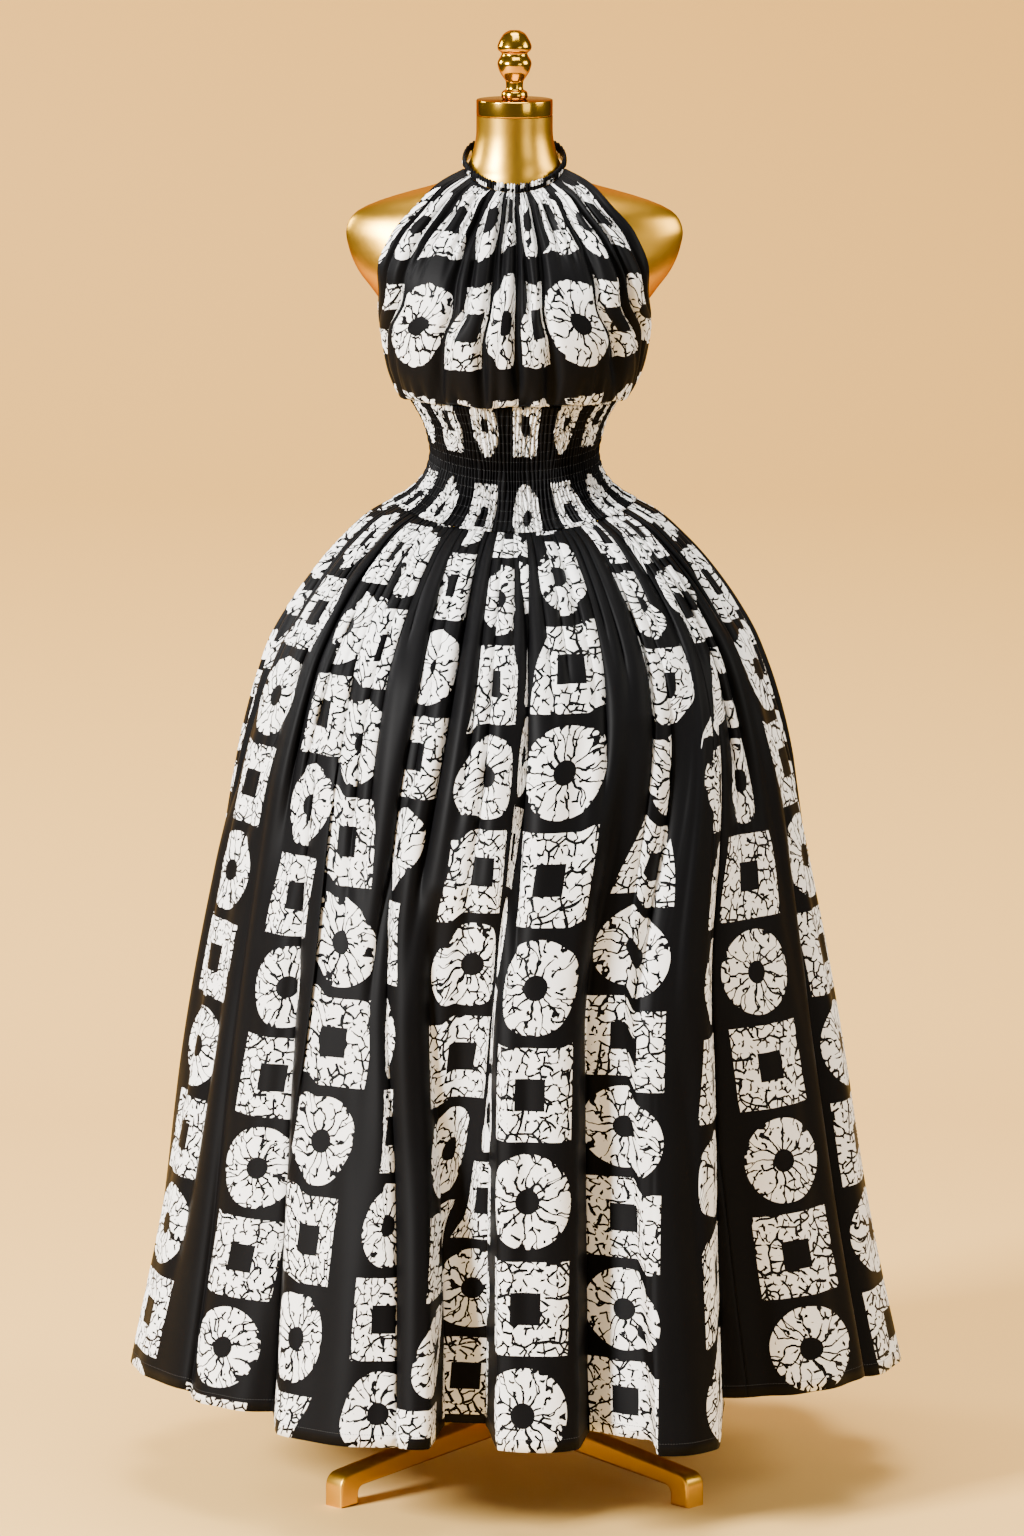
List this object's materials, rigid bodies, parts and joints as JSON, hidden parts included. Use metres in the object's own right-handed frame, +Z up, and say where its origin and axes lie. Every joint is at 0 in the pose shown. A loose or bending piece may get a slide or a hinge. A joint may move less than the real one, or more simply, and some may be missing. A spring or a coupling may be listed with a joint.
{
  "type": "halter maxi dress on a dress form",
  "caption": "Gathered halter maxi dress with a shirred waistband and a full bell skirt, on a gold limbless dress form with a finial and a four-legged stand.",
  "frame": {"origin": "on the floor under the pole of the stand, at the middle of the outline", "axes": "+Z up; the front faces -Y; +X is the wearer's left"},
  "size_m": [0.9018, 0.8558, 1.6879],
  "materials": {
    "printed_cotton": "plain-weave cotton, black ground with off-white printed discs and squares",
    "casing_cotton": "gathered elastic casing in the same printed cotton",
    "satin_gold": "satin gold",
    "polished_brass": "polished",
    "stand_gold": "semi-polished gold"
  },
  "bodies": {
    "root": {"skirt_front": "printed_cotton", "skirt_left": "printed_cotton", "skirt_back": "printed_cotton", "skirt_right": "printed_cotton", "waistband": "printed_cotton", "bodice_front": "printed_cotton", "neck_casing": "casing_cotton", "form_torso": "satin_gold", "neck_cap": "polished_brass", "finial": "polished_brass", "pole": "stand_gold", "hub": "stand_gold", "leg_front_left": "stand_gold", "leg_back_left": "stand_gold", "leg_back_right": "stand_gold", "leg_front_right": "stand_gold"}
  },
  "joints": []
}
